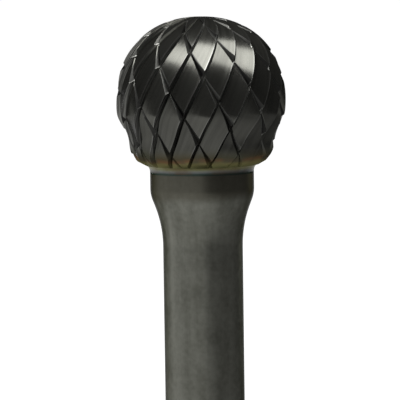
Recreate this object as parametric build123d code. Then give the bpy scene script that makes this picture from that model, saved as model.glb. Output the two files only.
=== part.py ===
from build123d import *
import math
import os

# A ball-shaped, double-cut carbide burr. Millimetres and degrees.
# Z runs up the axis, from the middle of the shank's plain end at 0 to the tip of the head.
# A latitude is measured at the centre of the ball, up from its belt; a longitude turns right from -Y.

# Shank: one turned piece of steel with a thicker collar under the head
shank_diameter = 6.0
shank_length = 44.4  # the whole steel piece, up to the braze
end_chamfer = 0.4
collar_diameter = 7.8
collar_height = 1.7
taper_angle = 21.0  # of the cone under the collar, from the axis
taper_top_round = 2.5
taper_foot_round = 8.5

# Braze: a thin layer that flares out under the head
braze_thickness = 0.5
braze_spread = 0.22

# Head: a ball cut flat where it sits on the braze
head_diameter = 12.7
head_squareness = 2.2  # exponent of the outline: 2 is a true ball, more is fuller at the shoulders
base_rim = 0.15  # of the flat base, outside the braze
base_chamfer_width = 0.25
base_chamfer_height = 0.3

# Flutes: right-hand grooves, each with a steep cutting face, a gullet and a long back that slopes up to
# the next cutting edge. Widths are square across the flutes at the belt, and depths square to the axis.
flute_count = 19
flute_helix = 27.5  # from the axis
flute_depth = 0.55
flute_tip_depth = 0.6  # beside the tip, as a share of the radius there
face_lean = 0.2  # of the cutting face, over its depth
gullet_width = 0.34
heel_depth = 0.24  # where the gullet turns into the back
flute_longitude = -27.9  # of a cutting edge

# Chip breakers: narrower left-hand grooves that part the teeth into diamonds, with their sizes at the belt
chip_breaker_count = 12
chip_breaker_helix = 29.5
chip_breaker_depth = 0.36
chip_breaker_width = 0.6
chip_breaker_longitude = -17.3  # of the bottom of a groove

# How far the grooves go, and how finely the head is drawn
groove_top_latitude = 86.0  # where the grooves run out beside the tip
cutter_overrun = 9.0  # how far the chip breakers' cutters go on below the base, in degrees of latitude
cutter_clearance = 0.4  # how far cutters stand out of the ball
ring_count = 15

# Worked out from the sizes above
shank_radius = shank_diameter / 2
collar_radius = collar_diameter / 2
head_radius = head_diameter / 2
base_flat_radius = collar_radius + braze_spread + base_rim
base_radius = base_flat_radius + base_chamfer_width
base_depth = head_radius * (1 - (base_radius / head_radius) ** head_squareness) ** (1 / head_squareness)
base_latitude = -math.degrees(math.atan2(base_depth, base_radius))
braze_top = shank_length + braze_thickness
belt_height = braze_top + base_depth


def spread(first, last, count):
    """Evenly spaced values, both ends included."""
    return [first + (last - first) * i / (count - 1) for i in range(count)]


def outline(latitude):
    """Radius and height over the belt of the uncut ball."""
    across = abs(math.cos(math.radians(latitude)))
    along = math.sin(math.radians(latitude))
    stretch = (across**head_squareness + abs(along) ** head_squareness) ** (1 / head_squareness)
    return head_radius * across / stretch, head_radius * along / stretch


def ball_point(latitude, longitude):
    radius, height = outline(latitude)
    turn = math.radians(longitude)
    return Vector(radius * math.sin(turn), -radius * math.cos(turn), belt_height + height)


def ball_normal(latitude, longitude):
    """The direction square to the uncut ball, outwards."""
    radius, height = outline(latitude)
    outwards = radius ** (head_squareness - 1)
    upwards = math.copysign(abs(height) ** (head_squareness - 1), height)
    turn = math.radians(longitude)
    return Vector(outwards * math.sin(turn), -outwards * math.cos(turn), upwards).normalized()


def groove_plane(latitude, helix, start):
    """A plane square to a groove's path: its X crosses the groove to the right, its Y points out of the ball.

    The path turns by the tangent of the helix angle for each degree of latitude.
    """
    lead = math.tan(math.radians(helix))
    step = 0.01
    longitude = start + lead * latitude
    above = ball_point(latitude + step, longitude + lead * step)
    below = ball_point(latitude - step, longitude - lead * step)
    path = (above - below).normalized()
    across = path.cross(ball_normal(latitude, longitude))
    return Plane(origin=ball_point(latitude, longitude), x_dir=across, z_dir=path * -1)


def pitch_at(latitude, helix):
    """The distance from one chip breaker to the next, square across them."""
    radius, _ = outline(latitude)
    climb = (ball_point(latitude + 0.5, 0) - ball_point(latitude - 0.5, 0)).length
    sideways = radius * math.radians(1) * math.tan(math.radians(helix))
    return 2 * math.pi * radius / chip_breaker_count * math.cos(math.atan2(sideways, climb))


def chip_breaker_cutters():
    """V-shaped bars along the grooves, whose section shrinks with their pitch and follows the ball's bulge."""
    helix = -chip_breaker_helix
    reach = chip_breaker_width / 2 * (1 + cutter_clearance / chip_breaker_depth)
    section = [(-reach, cutter_clearance), (0, -chip_breaker_depth), (reach, cutter_clearance)]
    sections = []
    for latitude in spread(base_latitude - cutter_overrun, groove_top_latitude, ring_count):
        scale = pitch_at(latitude, helix) / pitch_at(0, helix)
        plane = groove_plane(latitude, helix, chip_breaker_longitude)
        corners = [(x * scale, y * scale - (x * scale) ** 2 / head_diameter) for x, y in section]
        sections.append(Wire.make_polygon([plane.from_local_coords(corner) for corner in corners]))
    cutter = Solid.make_loft(sections)
    return [cutter.rotate(Axis.Z, 360 / chip_breaker_count * i) for i in range(chip_breaker_count)]


def toothed_ring(latitude):
    """The outline of the fluted ball at one level: a cutting edge, the foot of its face and a heel for each tooth."""
    radius, height = outline(latitude)
    depth_share = min(1, flute_tip_depth * radius / flute_depth)
    belt_turn = math.degrees(1 / (head_radius * math.cos(math.radians(flute_helix))))
    tooth = [(0, 0), (face_lean, flute_depth), (face_lean + gullet_width, heel_depth)]
    start = flute_longitude + math.tan(math.radians(flute_helix)) * latitude
    corners = []
    for i in range(flute_count):
        for across, depth in tooth:
            turn = math.radians(start + 360 / flute_count * i + across * belt_turn)
            inset = radius - depth * depth_share
            corners.append((inset * math.sin(turn), -inset * math.cos(turn), belt_height + height))
    return Wire.make_polygon(corners)


def make_base_chamfer():
    """A ring that takes the corner off the ball round its flat base."""
    cut_depth = base_depth - base_chamfer_height
    cut_radius = head_radius * (1 - (cut_depth / head_radius) ** head_squareness) ** (1 / head_squareness)
    overshoot = 1 + cutter_clearance / (cut_radius - base_flat_radius)
    outer = base_flat_radius + (cut_radius - base_flat_radius) * overshoot
    with BuildPart() as ring:
        with BuildSketch(Plane.XZ):
            with BuildLine():
                Polyline(
                    (base_flat_radius, braze_top),
                    (outer, braze_top + base_chamfer_height * overshoot),
                    (outer, braze_top - cutter_clearance),
                    (base_flat_radius, braze_top - cutter_clearance),
                    close=True,
                )
            make_face()
        revolve(axis=Axis.Z)
    return ring.part.solid()


def make_head():
    """The fluted ball, with its chip breakers and the chamfer round its base cut into it."""
    rings = [toothed_ring(latitude) for latitude in spread(base_latitude, groove_top_latitude, ring_count)]
    fluted = Solid.make_loft(rings)
    return fluted.cut(make_base_chamfer(), *chip_breaker_cutters()).solid()


def make_braze():
    """A disc that flares from the collar to the base of the head."""
    flare = Solid.make_cone(collar_radius, collar_radius + braze_spread, braze_thickness)
    return flare.moved(Location((0, 0, shank_length)))


def make_shank():
    """The steel, turned from its plain end up to the flat face that is brazed."""
    taper_top = shank_length - collar_height
    taper_length = (collar_radius - shank_radius) / math.tan(math.radians(taper_angle))
    # the two rounds share the cone between them, so a short cone limits both
    cone_side = taper_length / math.cos(math.radians(taper_angle))
    rounds_side = (taper_foot_round + taper_top_round) * math.tan(math.radians(taper_angle / 2))
    fit = min(1, 0.95 * cone_side / rounds_side)
    corners = [
        (shank_radius, end_chamfer),
        (shank_radius, taper_top - taper_length),
        (collar_radius, taper_top),
        (collar_radius, shank_length),
    ]
    with BuildPart() as shank:
        with BuildSketch(Plane.XZ):
            with BuildLine():
                FilletPolyline(*corners, radius=[taper_foot_round * fit, taper_top_round * fit])
                Polyline(corners[3], (0, shank_length), (0, 0), (shank_radius - end_chamfer, 0), corners[0])
            make_face()
        revolve(axis=Axis.Z)
    return shank.part.solid()


os.makedirs("parts", exist_ok=True)
export_step(make_shank(), "parts/shank.step")
export_step(make_braze(), "parts/braze_joint.step")
export_step(make_head(), "parts/cutting_head.step")
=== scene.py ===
import math

import bmesh
import bpy
from mathutils import Matrix, Vector


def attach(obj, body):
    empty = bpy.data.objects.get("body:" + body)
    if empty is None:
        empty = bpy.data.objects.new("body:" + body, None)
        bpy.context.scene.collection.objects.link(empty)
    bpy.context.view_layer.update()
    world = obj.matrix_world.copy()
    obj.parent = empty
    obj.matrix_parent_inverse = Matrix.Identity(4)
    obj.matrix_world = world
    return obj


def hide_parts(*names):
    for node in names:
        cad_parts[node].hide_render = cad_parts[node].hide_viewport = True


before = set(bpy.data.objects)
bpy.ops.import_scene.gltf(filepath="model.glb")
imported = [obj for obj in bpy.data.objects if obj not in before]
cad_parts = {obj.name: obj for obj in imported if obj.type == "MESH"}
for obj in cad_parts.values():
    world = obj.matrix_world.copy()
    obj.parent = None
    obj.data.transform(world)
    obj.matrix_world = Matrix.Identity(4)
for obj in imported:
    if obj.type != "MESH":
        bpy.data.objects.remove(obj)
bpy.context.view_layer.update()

MM = 0.001

# Sizes of the burr, in metres and radians. The waist and the finer teeth are the scene's own, and the head
# is a hair smaller than the solid, to stay inside the box of its facets. The other sizes are the solids'.
SHANK_RADIUS = 3.0 * MM
SHANK_LENGTH = 44.4 * MM
END_CHAMFER = 0.4 * MM
COLLAR_RADIUS = 3.9 * MM
COLLAR_HEIGHT = 1.7 * MM
TAPER_ANGLE = math.radians(21.0)
TAPER_TOP_ROUND = 2.5 * MM
TAPER_FOOT_ROUND = 8.5 * MM
BRAZE_THICKNESS = 0.5 * MM
BRAZE_SPREAD = 0.22 * MM
HEAD_RADIUS = 6.344 * MM
HEAD_SQUARENESS = 2.2  # exponent of the outline: 2 is a true ball, more is fuller at the shoulders
WAIST_DEPTH = 0.36 * MM
WAIST_LATITUDE = math.radians(-22.5)
WAIST_REACH = math.radians(16.0)  # to each side of the waist
BASE_RIM = 0.15 * MM
BASE_CHAMFER_WIDTH = 0.25 * MM
BASE_CHAMFER_HEIGHT = 0.3 * MM
FLUTE_COUNT = 19
FLUTE_HELIX = math.radians(27.5)
FLUTE_DEPTH = 0.45 * MM
FLUTE_TIP_DEPTH = 0.6  # beside the tip, as a share of the radius there
FACE_LEAN = 0.12 * MM
GULLET_WIDTH = 0.14 * MM
HEEL_DEPTH = 0.27 * MM
FLUTE_LONGITUDE = math.radians(-27.9)  # of a cutting edge, turning right from -Y
CHIP_BREAKER_COUNT = 12
CHIP_BREAKER_HELIX = math.radians(29.5)
CHIP_BREAKER_DEPTH = 0.36 * MM
CHIP_BREAKER_WIDTH = 0.6 * MM
CHIP_BREAKER_LONGITUDE = math.radians(-17.3)  # of the bottom of a groove
GROOVE_TOP_LATITUDE = math.radians(86.0)
CUTTER_OVERRUN = math.radians(9.0)
CUTTER_CLEARANCE = 0.4 * MM

# How finely the meshes are drawn
FACE_COLUMNS = 2  # across each tooth's cutting face, as the next two are across its gullet and back
GULLET_COLUMNS = 2
BACK_COLUMNS = 8
HEAD_ROWS = 110  # from base to tip
CUTTER_ROWS = 110  # along a chip breaker
COLUMN_TOLERANCE = 0.1
PATH_STEP = math.radians(0.25)  # to each side, to find the way a groove runs
TURNED_SIDES = 160
TAPER_FOOT_STEPS = 12
TAPER_TOP_STEPS = 8
BRAZE_STEPS = 10
SEAM_GAP = 1e-7  # where a grid closes on itself
DOUBLE_GAP = 2e-7
SHORTEST_EDGE = 1e-7
HEAD_CREASE = math.radians(22)  # sharper edges than this stay crisp
TURNED_CREASE = math.radians(20)

# The finish. Colours are linear. A noise is a scale and a detail, a bump a strength and a depth, and a
# spread the stretch of a noise over which something changes.
SLOW_NOISE = (300.0, 2.0)

# Ground carbide. Heights are in millimetres over the belt.
POLE_LIMIT = 0.9999  # of the height as a share of the radius, so that the pole has a latitude
LAND_SEED = 11.0
LAND_TILT = 0.12
LAND_COLOURS = ((0.034, 0.034, 0.03, 1), (0.102, 0.102, 0.091, 1))  # darkest and palest
FINE_STREAKS = (9, 1.3)  # per tooth, and per radian of latitude
BROAD_STREAKS = (5, 1.2)
BROAD_LAYER = 7  # another layer of the noise than the fine streaks'
MOTTLE_NOISE = (600.0, 4.0)
FINE_NOISE = (1.0, 4.0)
STREAK_NOISE = (1.0, 3.0)
STREAK_CONTRAST = 2.2
STREAK_BUMP = (0.35, 0.012 * MM)
# painted highlights along the cutting edges: their width, their colour, and how the broad streaks vary them
EDGE_HIGHLIGHT_WIDTH = 0.09 * MM
EDGE_HIGHLIGHT_COLOUR = (0.2, 0.2, 0.19, 1)
EDGE_HIGHLIGHT_SPREAD = (0.35, 0.6)
EDGE_HIGHLIGHT_STRENGTHS = (0.2, 1)
# painted light and shade on the gullets' faces: darker low on the head and paler towards the top
GULLET_SHADE_LATITUDES = (math.radians(15), math.radians(55))
GULLET_LIGHT_AND_SHADE_TONES = (0.11, 0.22)  # below the first latitude, and above the last
FACE_LINES = (8, 2)  # per millimetre below the cutting edge, and per radian of latitude
LINE_SPREAD = (0.4, 0.62)
LINE_STRENGTHS = (0.5, 1.6)
# painted shade in the chip breakers: their walls are painted nearly black, a little different on each land
BREAKER_SHADE_SPREAD = (0.3, 0.9)
BREAKER_SHADE_TONES = (0.015, 0.075)  # of the chip breakers
GROOVE_WARMTH = 0.93  # blue as a share of red and green
HEAD_TINTS = [
    (-4.74, (0.12, 0.12, 0.05)),
    (-4.42, (0.13, 0.115, 0.048)),
    (-4.2, (0.105, 0.062, 0.032)),
    (-3.95, (0.055, 0.047, 0.028)),
    (-3.2, (0.062, 0.064, 0.05)),
]
HEAD_TINT_WANDER = 0.35
HEAD_TINT_FADE = (-4.1, -3.0)
PATCH_NOISE = (420.0, 2.0)
PATCH_SPREAD = (0.42, 0.58)
PATCH_COLOUR = (0.05, 0.052, 0.036, 1)
PATCH_SHARE = 0.75
PATCH_RISE = (-4.5, -4.2)
CARBIDE_ROUGHNESS = 0.13
STREAK_ROUGHNESS = 0.08  # on top of the carbide's, as are the next four
LAND_ROUGHNESS = 0.05
GULLET_ROUGHNESS = 0.16
BREAKER_ROUGHNESS = 0.24
BASE_ROUGHNESS = 0.2
BASE_ROUGHNESS_FADE = (-4.5, -3.6)
CARBIDE_METALLIC = 0.88
CARBIDE_SPECULAR = 0.35

# Braze. Levels are in millimetres over the steel.
BRAZE_TINTS = [
    (-0.1, (0.03, 0.046, 0.04)),
    (0.04, (0.045, 0.062, 0.056)),
    (0.13, (0.105, 0.112, 0.112)),
    (0.24, (0.135, 0.14, 0.115)),
    (0.36, (0.13, 0.132, 0.062)),
    (0.5, (0.13, 0.126, 0.056)),
]
BRAZE_TINT_WANDER = 0.12
BLOTCH_NOISE = (900.0, 3.0)
BLOTCH_SPREAD = (0.35, 0.7)
BLOTCH_COLOUR = (0.09, 0.055, 0.03, 1)
BLOTCH_SHARE = 0.5
BLOTCH_BUMP = (0.5, 0.03 * MM)
BRAZE_ROUGHNESS = 0.34
BLOTCH_ROUGHNESS = 0.2
BRAZE_SPECULAR = 0.9

# Steel. Levels are in millimetres over its top.
STEEL_COLOURS = ((0.085, 0.086, 0.072, 1), (0.165, 0.167, 0.145, 1))  # darkest and palest
STEEL_SPREAD = (0.3, 0.7)
GRAIN_NOISE = (2600.0, 4.0)
STEEL_MOTTLE_NOISE = (420.0, 3.0)
LENGTHWISE_NOISE = (900.0, 3.0)
LENGTHWISE_SQUEEZE = 0.05  # of the height, which draws the noise out along the axis
STEEL_BUMP = (0.15, 0.01 * MM)
# a heat tint at the collar with the head's painted shadow over it: the shadow's edge slants higher to the
# right, and it is darker on the right
HEAT_AND_SHADOW_COLOUR = (0.066, 0.062, 0.047, 1)
HEAT_AND_SHADOW_LEVELS = (-2.3, -1.5)
HEAT_AND_SHADOW_WANDER = 0.25
SHADOW_SLOPE = 0.06  # how much higher the tint starts per millimetre to the right
HEAT_AND_SHADOW_SHARE = 0.7
SHADOW_LEAN = 0.08  # how much stronger the tint is on the right of the collar than in its middle
RIM_COLOUR = (0.035, 0.05, 0.042, 1)
RIM_SHARE = 0.9
RIM_LEVELS = (-0.16, -0.04)
RIM_WANDER = 0.06
STEEL_ROUGHNESS = 0.25
TONE_ROUGHNESS = 0.1
STEEL_SPECULAR = 0.3

# The view: where the camera stands, and where the middle of the head's belt falls in the frame
VIEW_ELEVATION = math.radians(5.0)
VIEW_ROLL = math.radians(0.8)
VIEW_DISTANCE = 195 * MM
VIEW_WIDTH = 29.94 * MM
FRAME_PIXELS = 400
BELT_PIXEL = (201.0, 101.3)
SENSOR = 36.0
CLIP_START = 5 * MM

# The softbox over the head: its place is measured from the head's middle, its turn to the right of the front
LAMP_TURN = math.radians(-1)
LAMP_ELEVATION = math.radians(75)
LAMP_DISTANCE = 0.5
LAMP_WIDTH = 0.86
LAMP_DEPTH = 0.35
LAMP_RADIANCE = 8.6

# The floor and its glow, which changes from left to right and from front to back
FLOOR_REACH = 60.0
FLOOR_COLOUR = 0.1
FLOOR_ROUGHNESS = 0.9
GLOW_LEFT = 0.79
GLOW_RIGHT = 0.09
GLOW_BACK = 1.0
GLOW_SIDES = (-0.06, 0.12)
GLOW_DEPTHS = (0.03, 0.16)
BACK_LEAN = 0.5  # how far the back comes forward on the left, on the floor and in the room

# The room, by the direction from the burr, and the backdrop
ROOM_LEFT = 0.028
ROOM_RIGHT = 0.0051
ROOM_SIDES = (-0.8, 0.8)
ROOM_LIFT = 0.018
ROOM_LIFT_HEIGHTS = (0, 0.35)
ROOM_BACK = 0.051
ROOM_DEPTHS = (-0.1, 0.45)
ROOM_ABOVE = 0.041
ROOM_ABOVE_HEIGHTS = (0, 0.8)
BACKDROP = 1.0

BRAZE_TOP = SHANK_LENGTH + BRAZE_THICKNESS
BASE_FLAT_RADIUS = COLLAR_RADIUS + BRAZE_SPREAD + BASE_RIM
BASE_RADIUS = BASE_FLAT_RADIUS + BASE_CHAMFER_WIDTH


def depth_at(radius):
    """How far below the belt the ball's outline has this radius, and its radius at this depth."""
    share = 1 - (radius / HEAD_RADIUS) ** HEAD_SQUARENESS
    return HEAD_RADIUS * share ** (1 / HEAD_SQUARENESS)


BASE_DEPTH = depth_at(BASE_RADIUS)
BELT_HEIGHT = BRAZE_TOP + BASE_DEPTH
BASE_LATITUDE = -math.atan2(BASE_DEPTH, BASE_RADIUS)
CHAMFER_DEPTH = BASE_DEPTH - BASE_CHAMFER_HEIGHT
CHAMFER_LATITUDE = -math.atan2(CHAMFER_DEPTH, depth_at(CHAMFER_DEPTH))


class Number:
    """A number, vector or colour in a node tree: arithmetic on it adds Math nodes."""

    def __init__(self, tree, socket):
        self.tree = tree
        self.socket = socket

    def math(self, operation, *others):
        return self.tree.add("ShaderNodeMath", {"operation": operation}, [self, *others])

    def __add__(self, other):
        return self.math("ADD", other)

    __radd__ = __add__

    def __sub__(self, other):
        return self.math("SUBTRACT", other)

    def __rsub__(self, other):
        return self.tree.add("ShaderNodeMath", {"operation": "SUBTRACT"}, [other, self])

    def __mul__(self, other):
        return self.math("MULTIPLY", other)

    __rmul__ = __mul__

    def __truediv__(self, other):
        return self.math("DIVIDE", other)

    def __rtruediv__(self, other):
        return self.tree.add("ShaderNodeMath", {"operation": "DIVIDE"}, [other, self])

    def __pow__(self, other):
        return self.math("POWER", other)

    def __neg__(self):
        return self.math("MULTIPLY", -1)

    def __abs__(self):
        return self.math("ABSOLUTE")

    def clamped(self):
        return self.tree.add("ShaderNodeClamp", {}, [self, 0, 1])


def sine(value):
    return value.math("SINE")


def cosine(value):
    return value.math("COSINE")


def set_stops(elements, stops):
    """Gives a colour ramp these stops, each a place from 0 to 1 and its colour."""
    while len(elements) < len(stops):
        elements.new(0.5)
    for element, (place, colour) in zip(elements, stops):
        element.position = place
        element.color = (*colour, 1)


class Tree:
    """Adds nodes to a tree, from a node's type, its settings and the values or links of its sockets."""

    def __init__(self, node_tree):
        self.nodes = node_tree.nodes
        self.links = node_tree.links

    def fill(self, node, sockets):
        """Links or sets a node's inputs, given by name or in order."""
        named = sockets.items() if isinstance(sockets, dict) else enumerate(sockets)
        for name, value in named:
            if isinstance(value, Number):
                self.links.new(value.socket, node.inputs[name])
            else:
                node.inputs[name].default_value = value

    def node(self, kind, settings, sockets):
        node = self.nodes.new(kind)
        for name, value in settings.items():
            if name == "stops":
                set_stops(node.color_ramp.elements, value)
            else:
                setattr(node, name, value)
        self.fill(node, sockets)
        return node

    def add(self, kind, settings, sockets, output=0):
        return Number(self, self.node(kind, settings, sockets).outputs[output])

    def vector(self, x, y, z):
        return self.add("ShaderNodeCombineXYZ", {}, [x, y, z])

    def parts(self, vector):
        node = self.node("ShaderNodeSeparateXYZ", {}, [vector])
        return [Number(self, socket) for socket in node.outputs]

    def vector_math(self, operation, *vectors, output=0):
        return self.add("ShaderNodeVectorMath", {"operation": operation}, vectors, output)

    def scaled(self, vector, factor):
        return self.add("ShaderNodeVectorMath", {"operation": "SCALE"}, {"Vector": vector, "Scale": factor})

    def ramp(self, value, first, last, start, end):
        """A smooth rise from start to end as the value goes from first to last."""
        return self.add(
            "ShaderNodeMapRange",
            {"interpolation_type": "SMOOTHSTEP"},
            {"Value": value, "From Min": first, "From Max": last, "To Min": start, "To Max": end},
        )

    def mix_colour(self, factor, first, second):
        """Second over first, by the factor."""
        return self.add("ShaderNodeMix", {"data_type": "RGBA"}, {0: factor, 6: first, 7: second}, output=2)

    def colours(self, value, stops):
        """A colour that passes through stops, each a value and its colour, in rising order."""
        low, high = stops[0][0], stops[-1][0]
        places = [((at - low) / (high - low), colour) for at, colour in stops]
        return self.add("ShaderNodeValToRGB", {"stops": places}, [(value - low) / (high - low)])

    def noise(self, x, y, z, scale, detail):
        return self.add(
            "ShaderNodeTexNoise", {}, {"Vector": self.vector(x, y, z), "Scale": scale, "Detail": detail}
        )

    def uneven(self, x, y, z, reach):
        """A slow wander round zero, for lines that aren't quite level."""
        return (self.noise(x, y, z, *SLOW_NOISE) - 0.5) * (reach * 2)

    def bump(self, height, strength, distance, **sockets):
        return self.add(
            "ShaderNodeBump", {}, {"Strength": strength, "Distance": distance, "Height": height, **sockets}
        )


def outline(latitude, size):
    """Radius and height over the belt of the uncut ball, slimmer at its waist."""
    radius, squareness = size["Head Radius"], size["Head Squareness"]
    across = abs(cosine(latitude))
    along = sine(latitude)
    stretch = (across**squareness + abs(along) ** squareness) ** (1 / squareness)
    off_waist = abs((latitude - WAIST_LATITUDE) / WAIST_REACH).math("MINIMUM", 1)
    waist = size["Waist Depth"] * (1 + cosine(off_waist * math.pi)) / 2
    return across * radius / stretch - waist, along * radius / stretch


def grid(tree, columns, rows):
    """A flat grid of unit cells, and the column and row of each of its points."""
    mesh = tree.add(
        "GeometryNodeMeshGrid",
        {},
        {"Size X": columns, "Size Y": rows, "Vertices X": columns + 1, "Vertices Y": rows + 1},
    )
    x, y, _ = tree.parts(tree.add("GeometryNodeInputPosition", {}, []))
    return mesh, (x + columns / 2).math("ROUND"), (y + rows / 2).math("ROUND")


def inner_rows(row, rows):
    """0 in the first and last rows of a grid, which shrink to a point and close it, and 1 in the others."""
    return row.math("GREATER_THAN", 0.5) * row.math("LESS_THAN", rows - 0.5)


def closed(tree, mesh, place, flip=False):
    """The grid moved to its place, with its seam and its collapsed ends merged."""
    moved = tree.add("GeometryNodeSetPosition", {}, {"Geometry": mesh, "Position": place})
    merged = tree.add("GeometryNodeMergeByDistance", {}, {"Geometry": moved, "Distance": SEAM_GAP})
    return tree.add("GeometryNodeFlipFaces", {}, [merged]) if flip else merged


def fluted_ball(tree, size):
    """Cutting edge, foot, heel and next edge of each tooth, joined by straight lines at every level."""
    per_tooth = FACE_COLUMNS + GULLET_COLUMNS + BACK_COLUMNS
    mesh, column, row = grid(tree, FLUTE_COUNT * per_tooth, HEAD_ROWS)
    tooth = (column / per_tooth).math("FLOOR")
    cell = column - tooth * per_tooth
    # row 1 is the rim of the flat base, row 2 the top of its chamfer, and the last but one is beside the tip
    low = (row - 1).clamped()
    high = ((row - 2) / (HEAD_ROWS - 3)).clamped()
    latitude = (
        BASE_LATITUDE
        + low * (CHAMFER_LATITUDE - BASE_LATITUDE)
        + high * (GROOVE_TOP_LATITUDE - CHAMFER_LATITUDE)
    )
    radius, height = outline(latitude, size)
    share = (radius * FLUTE_TIP_DEPTH / size["Flute Depth"]).math("MINIMUM", 1)
    belt_turn = 1 / (size["Head Radius"] * cosine(size["Flute Helix"]))
    first_edge = FLUTE_LONGITUDE + latitude * size["Flute Helix"].math("TANGENT")
    start = first_edge + tooth * (math.tau / FLUTE_COUNT)
    foot = size["Face Lean"] * belt_turn
    heel = (size["Face Lean"] + size["Gullet Width"]) * belt_turn
    at_base = row.math("LESS_THAN", 1.5)

    def corner(turn, depth):
        inset = radius - depth * share
        inset = inset - at_base * (inset - BASE_FLAT_RADIUS).math("MAXIMUM", 0)
        return tree.vector(inset * sine(start + turn), -(inset * cosine(start + turn)), 0)

    corners = [
        corner(0, 0),
        corner(foot, size["Flute Depth"]),
        corner(heel, size["Heel Depth"]),
        corner(math.tau / FLUTE_COUNT, 0),
    ]
    place = corners[0]
    passed = 0
    for here, there, cells in zip(corners, corners[1:], (FACE_COLUMNS, GULLET_COLUMNS, BACK_COLUMNS)):
        step = tree.vector_math("SUBTRACT", there, here)
        place = tree.vector_math("ADD", place, tree.scaled(step, ((cell - passed) / cells).clamped()))
        passed += cells
    place = tree.scaled(place, inner_rows(row, HEAD_ROWS))
    place = tree.vector_math("ADD", place, tree.vector(0, 0, height + BELT_HEIGHT))
    return closed(tree, mesh, place)


def chip_breakers(tree, size):
    """V-shaped bars along left-hand grooves, whose section shrinks with their pitch and follows the ball."""
    # the four columns are the left, the bottom and the right of the V, and its left again
    mesh, column, row = grid(tree, 3, CUTTER_ROWS)
    first = BASE_LATITUDE - CUTTER_OVERRUN
    along = ((row - 1) / (CUTTER_ROWS - 2)).clamped()
    latitude = first + along * (GROOVE_TOP_LATITUDE - first)
    lead = size["Chip Breaker Helix"].math("TANGENT")

    def on_ball(latitude):
        radius, height = outline(latitude, size)
        turn = CHIP_BREAKER_LONGITUDE - lead * latitude
        return tree.vector(radius * sine(turn), -(radius * cosine(turn)), height), radius, height, turn

    place, radius, _, turn = on_ball(latitude)
    above, radius_above, height_above, _ = on_ball(latitude + PATH_STEP)
    below, radius_below, height_below, _ = on_ball(latitude - PATH_STEP)
    outwards = height_above - height_below
    normal = tree.vector(outwards * sine(turn), -(outwards * cosine(turn)), radius_below - radius_above)
    normal = tree.vector_math("NORMALIZE", normal)
    path = tree.vector_math("SUBTRACT", above, below)
    across = tree.vector_math("CROSS_PRODUCT", tree.vector_math("NORMALIZE", path), normal)
    # the pitch is the spacing round the axis times the cosine of the groove's slant
    climb = tree.vector_math("LENGTH", path, output="Value") / (2 * PATH_STEP)
    slant = (radius * lead / climb).math("ARCSINE")
    scale = radius / size["Head Radius"] * cosine(slant) / cosine(size["Chip Breaker Helix"])

    depth = size["Chip Breaker Depth"]
    reach = size["Chip Breaker Width"] / 2 * (1 + CUTTER_CLEARANCE / depth)
    left, bottom, right, left_again = [column.math("COMPARE", i, COLUMN_TOLERANCE) for i in range(4)]
    scale = scale * inner_rows(row, CUTTER_ROWS)
    x = (right - left - left_again) * reach * scale
    y = (CUTTER_CLEARANCE - bottom * (depth + CUTTER_CLEARANCE)) * scale
    y = y - x * x / (size["Head Radius"] * 2)
    place = tree.vector_math("ADD", place, tree.scaled(across, x))
    place = tree.vector_math("ADD", place, tree.scaled(normal, y))
    place = tree.vector_math("ADD", place, tree.vector(0, 0, BELT_HEIGHT))
    bar = closed(tree, mesh, place, flip=True)
    points = tree.add(
        "GeometryNodeMeshLine", {"mode": "OFFSET"}, {"Count": CHIP_BREAKER_COUNT, "Offset": (0, 0, 0)}
    )
    index = tree.add("GeometryNodeInputIndex", {}, [])
    turned = tree.vector(0, 0, index * (math.tau / CHIP_BREAKER_COUNT))
    bars = tree.add(
        "GeometryNodeInstanceOnPoints", {}, {"Points": points, "Instance": bar, "Rotation": turned}
    )
    return tree.add("GeometryNodeRealizeInstances", {}, [bars])


HEAD_SIZES = {
    "Head Radius": HEAD_RADIUS,
    "Head Squareness": HEAD_SQUARENESS,
    "Waist Depth": WAIST_DEPTH,
    "Flute Helix": FLUTE_HELIX,
    "Flute Depth": FLUTE_DEPTH,
    "Face Lean": FACE_LEAN,
    "Gullet Width": GULLET_WIDTH,
    "Heel Depth": HEEL_DEPTH,
    "Chip Breaker Helix": CHIP_BREAKER_HELIX,
    "Chip Breaker Depth": CHIP_BREAKER_DEPTH,
    "Chip Breaker Width": CHIP_BREAKER_WIDTH,
}


def head_tree(material):
    """The fluted ball less its chip breakers, with the sizes above as its inputs."""
    nodes = bpy.data.node_groups.new("double-cut head", "GeometryNodeTree")
    for name, value in HEAD_SIZES.items():
        size = nodes.interface.new_socket(name, in_out="INPUT", socket_type="NodeSocketFloat")
        size.default_value = value
    nodes.interface.new_socket("Head", in_out="OUTPUT", socket_type="NodeSocketGeometry")
    tree = Tree(nodes)
    inputs = tree.node("NodeGroupInput", {}, [])
    sizes = {name: Number(tree, inputs.outputs[name]) for name in HEAD_SIZES}
    cut = tree.add(
        "GeometryNodeMeshBoolean",
        {"operation": "DIFFERENCE", "solver": "EXACT"},
        {"Mesh 1": fluted_ball(tree, sizes), "Mesh 2": chip_breakers(tree, sizes)},
    )
    whole = tree.add("GeometryNodeRealizeInstances", {}, [cut])
    painted = tree.add("GeometryNodeSetMaterial", {}, {"Geometry": whole, "Material": material})
    tree.node("NodeGroupOutput", {}, [painted])
    return nodes


def new_object(name, data):
    """An object in the scene, at the origin."""
    added = bpy.data.objects.new(name, data)
    bpy.context.scene.collection.objects.link(added)
    return added


def plain_mesh(name, nodes):
    """The mesh that a geometry tree makes, as a finished piece with no modifier."""
    carrier = new_object(name + "_carrier", bpy.data.meshes.new(name + "_start"))
    modifier = carrier.modifiers.new("shape", "NODES")
    modifier.node_group = nodes
    for item in nodes.interface.items_tree:
        if item.in_out == "INPUT":
            modifier[item.identifier] = item.default_value
    graph = bpy.context.evaluated_depsgraph_get()
    mesh = bpy.data.meshes.new_from_object(carrier.evaluated_get(graph))
    bpy.data.objects.remove(carrier)
    mesh.name = name
    return new_object(name, mesh)


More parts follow.
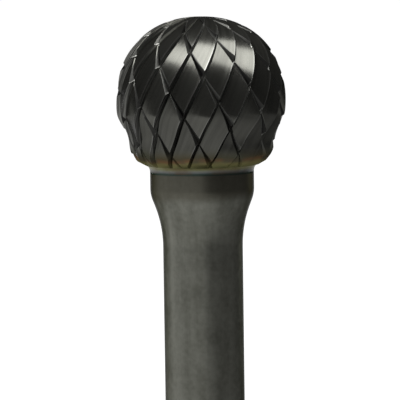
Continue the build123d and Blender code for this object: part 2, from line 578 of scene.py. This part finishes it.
def tidy(piece, crease):
    """Merges doubles, takes out flaps, turns the faces outwards and keeps edges over the crease crisp."""
    shape = bmesh.new()
    shape.from_mesh(piece.data)
    bmesh.ops.remove_doubles(shape, verts=shape.verts, dist=DOUBLE_GAP)
    bmesh.ops.dissolve_degenerate(shape, edges=shape.edges, dist=SHORTEST_EDGE)
    bmesh.ops.triangulate(shape, faces=shape.faces)
    # two faces on the same corners are a flap with nothing inside
    on_corners = {}
    for face in shape.faces:
        on_corners.setdefault(frozenset(face.verts), []).append(face)
    flaps = [face for twins in on_corners.values() if len(twins) > 1 for face in twins]
    bmesh.ops.delete(shape, geom=flaps, context="FACES")
    bmesh.ops.recalc_face_normals(shape, faces=shape.faces)
    shape.to_mesh(piece.data)
    shape.free()
    piece.data.shade_smooth()
    piece.data.set_sharp_from_angle(angle=crease)


def turned_piece(name, profile, material):
    """A piece turned about the axis from its outline, from the bottom centre to the top centre."""
    shape = bmesh.new()
    points = [shape.verts.new((radius, 0, height)) for radius, height in profile]
    edges = [shape.edges.new(pair) for pair in zip(points, points[1:])]
    bmesh.ops.spin(
        shape,
        geom=points + edges,
        cent=(0, 0, 0),
        axis=(0, 0, 1),
        angle=math.tau,
        steps=TURNED_SIDES,
        use_merge=False,
    )
    mesh = bpy.data.meshes.new(name)
    shape.to_mesh(mesh)
    shape.free()
    mesh.materials.append(material)
    piece = new_object(name, mesh)
    tidy(piece, TURNED_CREASE)
    return piece


def arc(centre, radius, first, last, steps):
    """Points on an arc, between two angles in radians."""
    turns = [first + (last - first) * i / steps for i in range(steps + 1)]
    return [(centre[0] + radius * math.cos(turn), centre[1] + radius * math.sin(turn)) for turn in turns]


def shank_profile():
    """Plain end, chamfer, shank, hollow round, cone, top round and collar."""
    taper_top = SHANK_LENGTH - COLLAR_HEIGHT
    taper_foot = taper_top - (COLLAR_RADIUS - SHANK_RADIUS) / math.tan(TAPER_ANGLE)
    foot_run = TAPER_FOOT_ROUND * math.tan(TAPER_ANGLE / 2)
    top_run = TAPER_TOP_ROUND * math.tan(TAPER_ANGLE / 2)
    foot_centre = (SHANK_RADIUS + TAPER_FOOT_ROUND, taper_foot - foot_run)
    top_centre = (COLLAR_RADIUS - TAPER_TOP_ROUND, taper_top + top_run)
    return [
        (0, 0),
        (SHANK_RADIUS - END_CHAMFER, 0),
        (SHANK_RADIUS, END_CHAMFER),
        *arc(foot_centre, TAPER_FOOT_ROUND, math.pi, math.pi - TAPER_ANGLE, TAPER_FOOT_STEPS),
        *arc(top_centre, TAPER_TOP_ROUND, -TAPER_ANGLE, 0, TAPER_TOP_STEPS),
        (COLLAR_RADIUS, SHANK_LENGTH),
        (0, SHANK_LENGTH),
    ]


def braze_profile():
    """A thin layer with a hollow edge, from the collar out to the base of the head."""
    hollow = (BRAZE_THICKNESS**2 + BRAZE_SPREAD**2) / (2 * BRAZE_SPREAD)
    centre = (COLLAR_RADIUS + hollow, SHANK_LENGTH)
    sweep = math.asin(BRAZE_THICKNESS / hollow)
    return [
        (0, SHANK_LENGTH),
        *arc(centre, hollow, math.pi, math.pi - sweep, BRAZE_STEPS),
        (0, BRAZE_TOP),
    ]


def new_material(name):
    material = bpy.data.materials.new(name)
    material.use_nodes = True
    tree = Tree(material.node_tree)
    return material, tree, material.node_tree.nodes["Principled BSDF"]


def grey(value):
    return (value, value, value, 1)


def object_parts(tree):
    return tree.parts(tree.add("ShaderNodeTexCoord", {}, [], output="Object"))


def groove_colour(tree, tone):
    return tree.vector(tone, tone, tone * GROOVE_WARMTH)


def near_whole(value, width):
    """1 where a coordinate is a whole number, falling evenly to 0 at this width on both sides."""
    return (1 - abs(value - value.math("ROUND")) / width).clamped()


def head_tint(tree, x, y, z):
    """Straw and brown heat bands over the base of the head, with darker patches, and how strong they are."""
    level = (z - BELT_HEIGHT) / MM
    tinted = tree.colours(level + tree.uneven(x, y, z, HEAD_TINT_WANDER), HEAD_TINTS)
    patch = tree.ramp(tree.noise(x, y, z, *PATCH_NOISE), *PATCH_SPREAD, 0, 1)
    tinted = tree.mix_colour(patch * tree.ramp(level, *PATCH_RISE, 0, PATCH_SHARE), tinted, PATCH_COLOUR)
    return tinted, tree.ramp(level, *HEAD_TINT_FADE, 1, 0)


def carbide():
    """Ground carbide: dark and glossy, with grinding streaks along the teeth, rougher grooves, pale painted
    highlights along the cutting edges, painted shade in the chip breakers and towards each gullet, painted
    light and shade on the gullets' faces, paler towards the top, and a heat tint where it was brazed."""
    material, tree, shader = new_material("ground carbide")
    x, y, z = object_parts(tree)
    height = z - BELT_HEIGHT
    # the latitude comes from the height, because a flute is cut straight in at every level
    share = abs(height / HEAD_RADIUS).math("MINIMUM", POLE_LIMIT) ** HEAD_SQUARENESS
    latitude = ((share / (1 - share)) ** (1 / HEAD_SQUARENESS)).math("ARCTANGENT") * height.math("SIGN")
    longitude = x.math("ARCTAN2", -y)
    flute = (longitude - FLUTE_LONGITUDE - latitude * math.tan(FLUTE_HELIX)) * (FLUTE_COUNT / math.tau)
    breaker = longitude - CHIP_BREAKER_LONGITUDE + latitude * math.tan(CHIP_BREAKER_HELIX)
    breaker = breaker * (CHIP_BREAKER_COUNT / math.tau)
    tooth = flute.math("FLOOR")
    over_tooth = flute - tooth
    land = breaker.math("FLOOR")

    # what is cut: the gullet from 0 to its heel, and the chip breaker round whole numbers
    pitch = math.tau / FLUTE_COUNT * HEAD_RADIUS * math.cos(FLUTE_HELIX)
    heel_share = (FACE_LEAN + GULLET_WIDTH) / pitch
    breaker_pitch = math.tau / CHIP_BREAKER_COUNT * HEAD_RADIUS * math.cos(CHIP_BREAKER_HELIX)
    in_gullet = over_tooth.math("LESS_THAN", heel_share)
    up_back = ((over_tooth - heel_share) / (1 - heel_share)).clamped()
    breaker_depth = near_whole(breaker, CHIP_BREAKER_WIDTH / 2 / breaker_pitch) * CHIP_BREAKER_DEPTH
    in_breaker = breaker_depth.math("GREATER_THAN", (1 - up_back) * HEEL_DEPTH) * (1 - in_gullet)

    # each land is ground a little differently: White Noise by tooth and land
    wrapped_tooth = tooth.math("FLOORED_MODULO", FLUTE_COUNT)
    wrapped_land = land.math("FLOORED_MODULO", CHIP_BREAKER_COUNT)
    own = tree.add(
        "ShaderNodeTexWhiteNoise",
        {"noise_dimensions": "4D"},
        {"Vector": tree.vector(wrapped_tooth, wrapped_land, 0), "W": LAND_SEED},
        output="Color",
    )
    own_parts = tree.parts(own)

    # streaks run along the teeth
    fine = tree.noise(flute * FINE_STREAKS[0], latitude * FINE_STREAKS[1], 0, *FINE_NOISE)
    broad = tree.noise(flute * BROAD_STREAKS[0], latitude * BROAD_STREAKS[1], BROAD_LAYER, *STREAK_NOISE)
    mottle = tree.noise(x, y, z, *MOTTLE_NOISE)
    streaks = ((fine * 0.4 + broad * 0.4 + mottle * 0.2 - 0.5) * STREAK_CONTRAST + 0.5).clamped()
    # a land is paler along its streaks, and each has its own tone; painted shade darkens it towards its
    # gullet, so it is paler up its back
    tone = streaks * 0.7 + up_back * 0.2 + own_parts[1] * 0.3 - 0.1
    colour = tree.mix_colour(tone, *LAND_COLOURS)

    # grinding lines run along the cutting faces too, level by level below the cutting edge
    rim = (1 - share) ** (1 / HEAD_SQUARENESS) * HEAD_RADIUS
    below_edge = (rim - (x * x + y * y).math("SQRT")) / MM
    lines = tree.noise(below_edge * FACE_LINES[0], latitude * FACE_LINES[1], tooth, *STREAK_NOISE)
    # painted light and shade: the gullets' faces are darker low on the head and paler towards the top
    face = tree.ramp(latitude, *GULLET_SHADE_LATITUDES, *GULLET_LIGHT_AND_SHADE_TONES)
    face = face * tree.ramp(lines, *LINE_SPREAD, *LINE_STRENGTHS)
    colour = tree.mix_colour(in_gullet, colour, groove_colour(tree, face))
    # painted shade: the chip breakers' walls are painted nearly black
    breaker_shade = tree.ramp(own_parts[0], *BREAKER_SHADE_SPREAD, *BREAKER_SHADE_TONES)
    colour = tree.mix_colour(in_breaker, colour, groove_colour(tree, breaker_shade))
    # painted highlight: a pale band along each cutting edge, stronger where the broad streaks are, and not
    # in the chip breakers
    edge_highlight = (1 - (1 - over_tooth) * (pitch / EDGE_HIGHLIGHT_WIDTH)).clamped() * (1 - in_breaker)
    edge_highlight = edge_highlight * tree.ramp(broad, *EDGE_HIGHLIGHT_SPREAD, *EDGE_HIGHLIGHT_STRENGTHS)
    colour = tree.mix_colour(edge_highlight, colour, EDGE_HIGHLIGHT_COLOUR)
    tinted, tint_share = head_tint(tree, x, y, z)
    colour = tree.mix_colour(tint_share, colour, tinted)

    rough = CARBIDE_ROUGHNESS + streaks * STREAK_ROUGHNESS + own_parts[2] * LAND_ROUGHNESS
    rough = rough + in_gullet * GULLET_ROUGHNESS + in_breaker * BREAKER_ROUGHNESS
    rough = rough + tree.ramp(height / MM, *BASE_ROUGHNESS_FADE, BASE_ROUGHNESS, 0)

    # a small tilt of each land, and the streaks on top of it
    tilt = tree.vector(*[part - 0.5 for part in own_parts])
    facing = tree.add("ShaderNodeNewGeometry", {}, [], output="Normal")
    leaning = tree.vector_math("ADD", facing, tree.scaled(tilt, LAND_TILT))
    leaning = tree.vector_math("NORMALIZE", leaning)
    tree.fill(
        shader,
        {
            "Base Color": colour,
            "Roughness": rough,
            "Normal": tree.bump(streaks, *STREAK_BUMP, Normal=leaning),
            "Specular Tint": grey(CARBIDE_SPECULAR),
            "Metallic": CARBIDE_METALLIC,
        },
    )
    return material


def braze_metal():
    """Braze with its heat tints: dark teal where it meets the steel, then grey, and olive under the head,
    with brown blotches."""
    material, tree, shader = new_material("heat-tinted braze")
    x, y, z = object_parts(tree)
    level = (z - SHANK_LENGTH) / MM + tree.uneven(x, y, z, BRAZE_TINT_WANDER)
    blotch = tree.noise(x, y, z, *BLOTCH_NOISE)
    blotch_share = tree.ramp(blotch, *BLOTCH_SPREAD, 0, BLOTCH_SHARE)
    colour = tree.mix_colour(blotch_share, tree.colours(level, BRAZE_TINTS), BLOTCH_COLOUR)
    tree.fill(
        shader,
        {
            "Base Color": colour,
            "Roughness": BRAZE_ROUGHNESS + blotch * BLOTCH_ROUGHNESS,
            "Normal": tree.bump(blotch, *BLOTCH_BUMP),
            "Specular Tint": grey(BRAZE_SPECULAR),
            "Metallic": 1.0,
        },
    )
    return material


def steel():
    """Matt, slightly olive steel with a mottle and faint lines along it. Heat has tinted it brown at the
    collar, and a painted shadow of the head darkens the collar with it, more on the right and with a slanted
    edge; there is a dark teal line at the very top."""
    material, tree, shader = new_material("matt steel")
    x, y, z = object_parts(tree)
    grain = tree.noise(x, y, z, *GRAIN_NOISE)
    mottle = tree.noise(x, y, z, *STEEL_MOTTLE_NOISE)
    lengthwise = tree.noise(x, y, z * LENGTHWISE_SQUEEZE, *LENGTHWISE_NOISE)
    tone = grain * 0.25 + mottle * 0.25 + lengthwise * 0.5
    colour = tree.mix_colour(tree.ramp(tone, *STEEL_SPREAD, 0, 1), *STEEL_COLOURS)
    level = (z - SHANK_LENGTH) / MM
    # heat tint and the head's painted shadow: its edge slants higher to the right, and it is darker on the
    # right of the collar
    leaning_level = level + tree.uneven(x, y, z, HEAT_AND_SHADOW_WANDER) - x / MM * SHADOW_SLOPE
    heat_and_shadow = tree.ramp(leaning_level, *HEAT_AND_SHADOW_LEVELS, 0, 1) * (HEAT_AND_SHADOW_SHARE + x / COLLAR_RADIUS * SHADOW_LEAN)
    colour = tree.mix_colour(heat_and_shadow, colour, HEAT_AND_SHADOW_COLOUR)
    rim = tree.ramp(level + tree.uneven(x, y, z, RIM_WANDER), *RIM_LEVELS, 0, RIM_SHARE)
    colour = tree.mix_colour(rim, colour, RIM_COLOUR)
    tree.fill(
        shader,
        {
            "Base Color": colour,
            "Roughness": STEEL_ROUGHNESS + tone * TONE_ROUGHNESS,
            "Normal": tree.bump(tone, *STEEL_BUMP),
            "Specular Tint": grey(STEEL_SPECULAR),
            "Metallic": 1.0,
        },
    )
    return material


def dress(piece, node):
    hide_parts(node)
    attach(piece, "root")


def add_camera():
    """A camera rolled a little, aimed so that the middle of the belt falls on its pixel."""
    forward = Vector((0, math.cos(VIEW_ELEVATION), -math.sin(VIEW_ELEVATION)))
    right = Vector((1, 0, 0))
    up = right.cross(forward)
    rolled_up = up * math.cos(VIEW_ROLL) + right * math.sin(VIEW_ROLL)
    rolled_right = right * math.cos(VIEW_ROLL) - up * math.sin(VIEW_ROLL)
    pixel = VIEW_WIDTH / FRAME_PIXELS
    middle = FRAME_PIXELS / 2
    to_right, to_top = BELT_PIXEL[0] - middle, middle - BELT_PIXEL[1]
    aim = Vector((0, 0, BELT_HEIGHT)) - (rolled_right * to_right + rolled_up * to_top) * pixel
    lens = bpy.data.cameras.new("camera")
    lens.sensor_width = SENSOR
    lens.lens = SENSOR * VIEW_DISTANCE / VIEW_WIDTH
    lens.clip_start = CLIP_START
    camera = new_object("camera", lens)
    camera.matrix_world = Matrix((rolled_right, rolled_up, -forward)).transposed().to_4x4()
    camera.location = aim - forward * VIEW_DISTANCE
    bpy.context.scene.camera = camera


def add_lamp():
    """A rectangular softbox turned to the head, as bright as a surface of its radiance."""
    light = bpy.data.lights.new("overhead softbox", "AREA")
    light.shape = "RECTANGLE"
    light.size = LAMP_WIDTH
    light.size_y = LAMP_DEPTH
    light.energy = LAMP_RADIANCE * math.pi * LAMP_WIDTH * LAMP_DEPTH
    lamp = new_object("overhead softbox", light)
    away = math.cos(LAMP_ELEVATION)
    direction = Vector((away * math.sin(LAMP_TURN), -away * math.cos(LAMP_TURN), math.sin(LAMP_ELEVATION)))
    lamp.location = Vector((0, 0, BELT_HEIGHT)) + direction * LAMP_DISTANCE
    lamp.rotation_euler = (-direction).to_track_quat("-Z", "Y").to_euler()


def add_stage():
    """A pale floor with a glow of its own, big enough to fill every view from above."""
    mesh = bpy.data.meshes.new("floor")
    far = FLOOR_REACH
    mesh.from_pydata([(-far, -far, 0), (far, -far, 0), (far, far, 0), (-far, far, 0)], [], [(0, 1, 2, 3)])
    floor = new_object("floor", mesh)
    material, tree, shader = new_material("pale floor")
    x, y, _ = object_parts(tree)
    front = tree.ramp(x, *GLOW_SIDES, GLOW_LEFT, GLOW_RIGHT)
    glow = front + tree.ramp(y - x * BACK_LEAN, *GLOW_DEPTHS, 0, 1) * (GLOW_BACK - front)
    tree.fill(
        shader,
        {
            "Base Color": grey(FLOOR_COLOUR),
            "Roughness": FLOOR_ROUGHNESS,
            "Emission Color": tree.vector(glow, glow, glow),
            "Emission Strength": 1.0,
        },
    )
    floor.data.materials.append(material)


def add_world():
    """A dark room, a little lighter on the left and behind the burr, with a pale backdrop for the camera."""
    world = bpy.data.worlds.new("studio")
    bpy.context.scene.world = world
    world.use_nodes = True
    tree = Tree(world.node_tree)
    x, y, z = tree.parts(tree.add("ShaderNodeTexCoord", {}, [], output="Generated"))
    front = tree.ramp(x, *ROOM_SIDES, ROOM_LEFT, ROOM_RIGHT)
    front = front + tree.ramp(z, *ROOM_LIFT_HEIGHTS, 0, ROOM_LIFT)
    back = ROOM_BACK + tree.ramp(z, *ROOM_ABOVE_HEIGHTS, 0, ROOM_ABOVE)
    strength = front + tree.ramp(y - x * BACK_LEAN, *ROOM_DEPTHS, 0, 1) * (back - front)
    # above the floor the camera sees a plain pale backdrop, which lights nothing
    seen = tree.add("ShaderNodeLightPath", {}, [], output="Is Camera Ray")
    strength = strength + seen * (BACKDROP - strength)
    tree.fill(tree.nodes["Background"], {"Color": grey(1.0), "Strength": strength})


bpy.context.scene.view_settings.view_transform = "Standard"
head = plain_mesh("burr_head", head_tree(carbide()))
tidy(head, HEAD_CREASE)
dress(head, "cutting_head")
dress(turned_piece("braze_ring", braze_profile(), braze_metal()), "braze_joint")
dress(turned_piece("burr_shank", shank_profile(), steel()), "shank")
add_camera()
add_lamp()
add_stage()
add_world()
